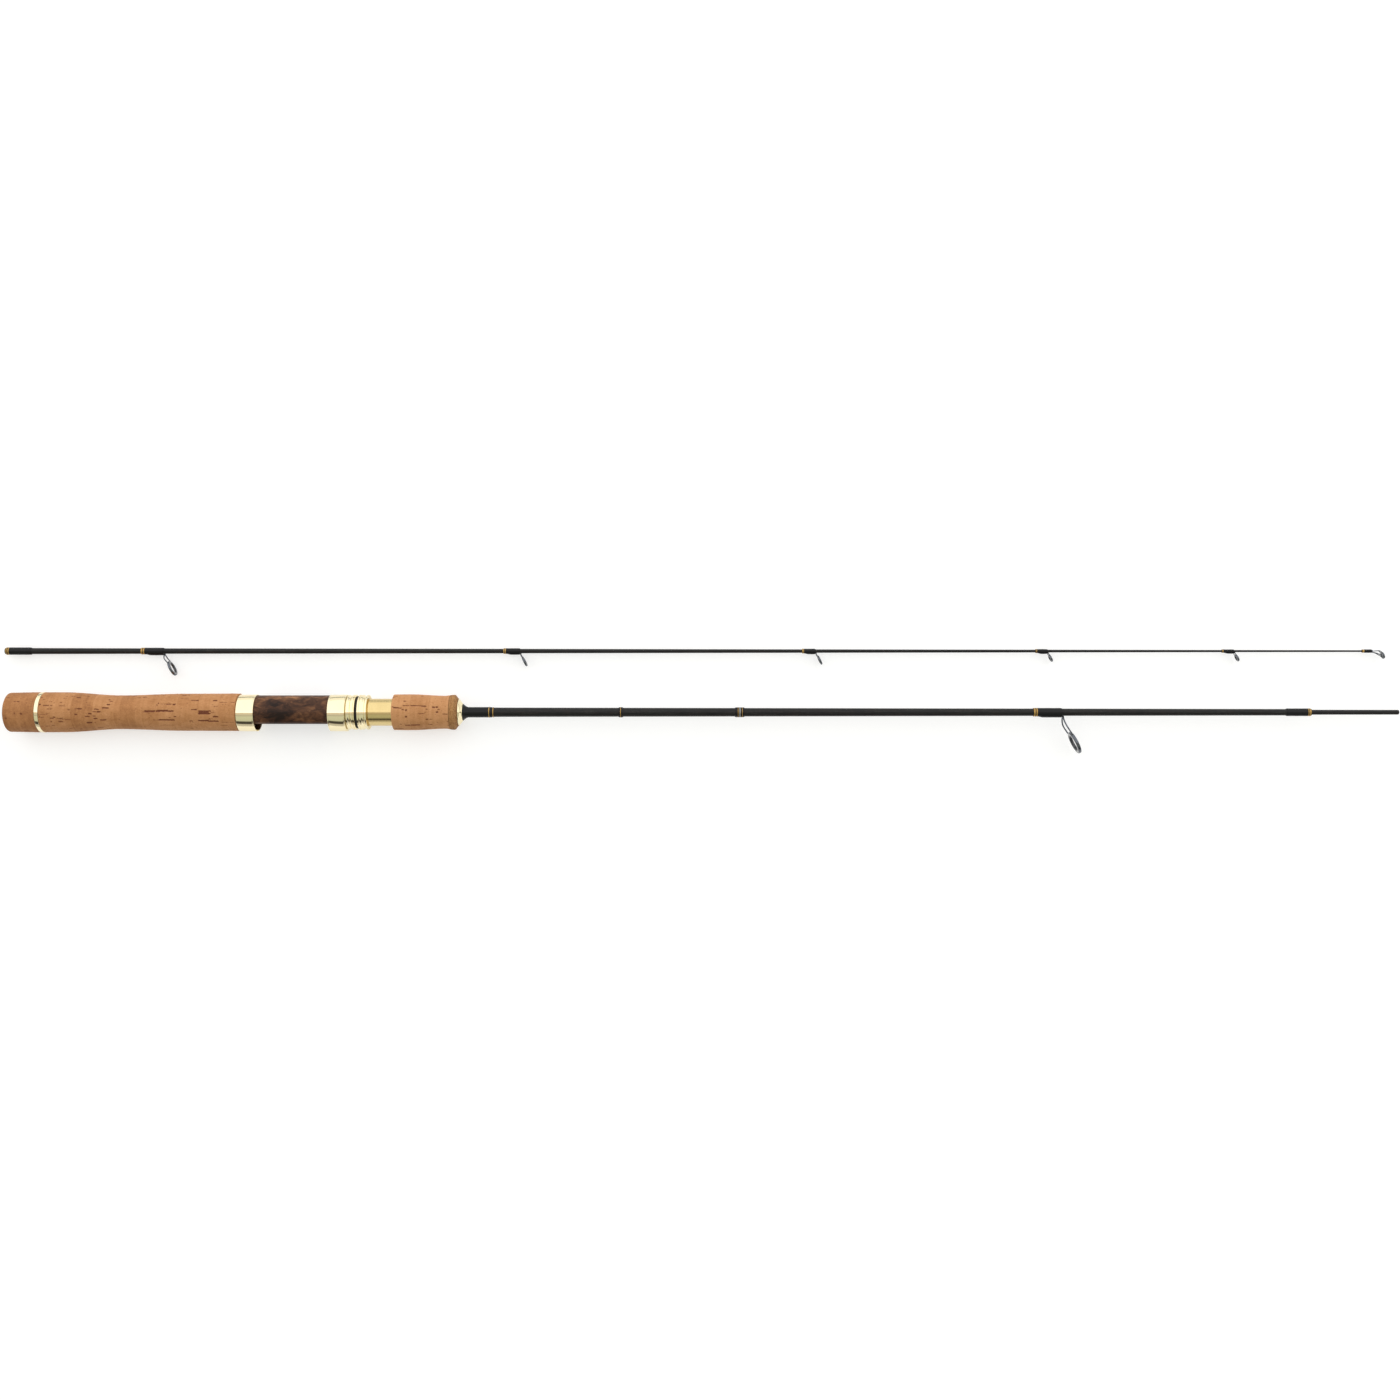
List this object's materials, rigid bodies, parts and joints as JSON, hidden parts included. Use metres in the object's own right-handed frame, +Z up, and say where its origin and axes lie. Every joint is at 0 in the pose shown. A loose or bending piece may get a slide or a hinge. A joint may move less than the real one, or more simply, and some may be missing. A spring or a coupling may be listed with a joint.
{
  "type": "spinning rod",
  "caption": "Spinning rod taken down into butt and tip sections, with cork grips, a screw-locking reel seat, a spigot ferrule and raked single-foot line guides.",
  "frame": {"origin": "middle of the object's bounding box, on the surface the two sections lie on", "axes": "+X along both sections from butt to tip, +Z up, -Y the side that the reel foot and the line guides face"},
  "size_m": [0.964, 0.073, 0.0279],
  "materials": {
    "cork": "fine sanded natural cork with dark pits",
    "composite_cork": "sanded composite cork, khaki brown and finely speckled",
    "polished_gold": "polished pale gold anodising",
    "satin_gold": "satin gold anodising",
    "burl_wood": "dark burl under clear gloss lacquer",
    "arbor_foam": "rigid foam, out of sight",
    "black_rubber": "matt black rubber",
    "blank": "glossy charcoal carbon fibre",
    "black_thread": "black thread under clear epoxy",
    "gold_thread": "metallic gold thread under clear epoxy",
    "guide_metal": "bright polished stainless steel",
    "ceramic": "polished dark ceramic"
  },
  "bodies": {
    "butt_section": {"butt_cap": "cork", "butt_trim_ring": "polished_gold", "rear_cork_ring_1": "cork", "rear_cork_ring_2": "cork", "rear_cork_ring_3": "cork", "rear_cork_ring_4": "cork", "rear_cork_ring_5": "cork", "rear_cork_ring_6": "cork", "rear_cork_ring_7": "cork", "rear_cork_ring_8": "cork", "rear_cork_ring_9": "cork", "rear_cork_ring_10": "cork", "fixed_hood": "polished_gold", "seat_insert": "burl_wood", "seat_barrel": "satin_gold", "seat_arbor": "arbor_foam", "fore_cork_ring_1": "cork", "fore_cork_ring_2": "cork", "fore_cork_ring_3": "cork", "fore_end_ring": "composite_cork", "winding_check": "polished_gold", "butt_blank": "blank", "spigot": "blank", "grip_wrap": "black_thread", "grip_gold_band_1": "gold_thread", "grip_gold_band_2": "gold_thread", "trim_wrap_rear": "black_thread", "trim_wrap_front": "black_thread", "ferrule_wrap_butt": "black_thread", "stripper_guide_wrap": "black_thread", "stripper_guide_frame": "guide_metal", "stripper_guide_ring": "ceramic"},
    "hood_group": {"sliding_hood": "polished_gold", "thrust_washer": "satin_gold"},
    "nut_group": {"lock_nut": "polished_gold", "nut_rubber_band": "black_rubber"},
    "tip_section": {"tip_blank": "blank", "ferrule_wrap_tip": "black_thread", "guide_1_wrap": "black_thread", "guide_1_frame": "guide_metal", "guide_1_ring": "ceramic", "guide_2_wrap": "black_thread", "guide_2_frame": "guide_metal", "guide_2_ring": "ceramic", "guide_3_wrap": "black_thread", "guide_3_frame": "guide_metal", "guide_3_ring": "ceramic", "guide_4_wrap": "black_thread", "guide_4_frame": "guide_metal", "guide_4_ring": "ceramic", "guide_5_wrap": "black_thread", "guide_5_frame": "guide_metal", "guide_5_ring": "ceramic", "tip_top_frame": "guide_metal", "tip_top_ring": "ceramic", "tip_top_wrap": "black_thread"}
  },
  "joints": [
    {"name": "hood_slide", "type": "slide", "parent": "butt_section", "child": "hood_group", "axis": [1, 0, 0], "range_m": [-0.006, 0.016]},
    {"name": "nut_turn", "type": "hinge", "parent": "hood_group", "child": "nut_group", "pos_m": [-0.2343, -0.00843, 0.01395], "axis": [1, 0, 0], "range_deg": [-2160, 5760]},
    {"name": "tip_section_slide", "type": "slide", "parent": "butt_section", "child": "tip_section", "axis": [1, 0, 0], "range_m": [0, 0.964]}
  ],
  "couplings": [
    {"joint": "hood_slide", "follows": "nut_turn", "m_per_rad": 0.00015915}
  ]
}
